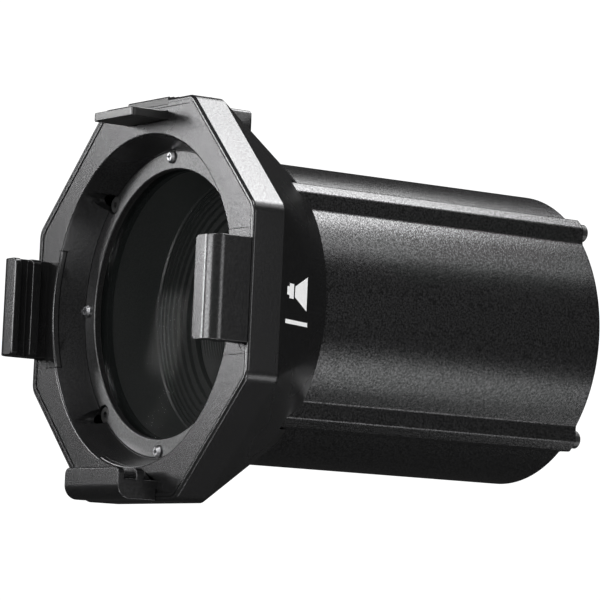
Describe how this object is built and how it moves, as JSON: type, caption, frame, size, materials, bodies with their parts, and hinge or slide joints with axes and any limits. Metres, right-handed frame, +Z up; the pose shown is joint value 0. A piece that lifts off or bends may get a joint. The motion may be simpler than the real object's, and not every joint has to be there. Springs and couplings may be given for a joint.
{
  "type": "spotlight lens tube",
  "caption": "Black lens tube of an ellipsoidal spotlight: octagonal front with slotted runners for colour frames, a spring latch, lenses, a light baffle and a ribbed tube.",
  "frame": {"origin": "centre of the tube's rear end face, on the light path's axis", "axes": "+Y points back towards the lamp, -Y out of the front opening, +Z up towards the latch, +X to the right flank seen from behind the front opening looking along +Y"},
  "size_m": [0.1784, 0.233, 0.1818],
  "materials": {
    "housing_black": "satin",
    "tube_black": "matte",
    "inner_black": "matte",
    "latch_metal": "satin",
    "thumb_plastic": "satin",
    "bright_steel": "satin",
    "black_steel": "satin",
    "rubber": "matte",
    "lens_glass": "polished"
  },
  "bodies": {
    "root": {"front_housing": "housing_black", "face_plate": "housing_black", "retaining_ring": "housing_black", "ring_screws": "bright_steel", "tube_bolts": "black_steel", "runner_left": "housing_black", "runner_right": "housing_black", "runner_bottom": "housing_black", "runner_screws": "bright_steel", "latch_guide": "inner_black", "latch_springs": "bright_steel", "lens_gasket": "rubber", "front_lens": "lens_glass", "stepped_baffle": "inner_black", "baffle_screws": "bright_steel", "fine_baffle": "inner_black", "rear_lens_cell": "inner_black", "rear_lens": "lens_glass", "rear_lens_gasket": "rubber", "rear_lens_ring": "inner_black", "outer_tube": "tube_black", "rear_ring": "tube_black", "rear_screws": "black_steel"},
    "latch": {"latch_blade": "latch_metal", "latch_thumb": "thumb_plastic", "latch_screws": "bright_steel"}
  },
  "joints": [
    {"name": "latch_slide", "type": "slide", "parent": "root", "child": "latch", "axis": [0, 1, 0], "range_m": [0, 0.018], "stiffness_N_per_m": 200, "springref_m": -0.01, "deforming": ["latch_springs"]}
  ]
}
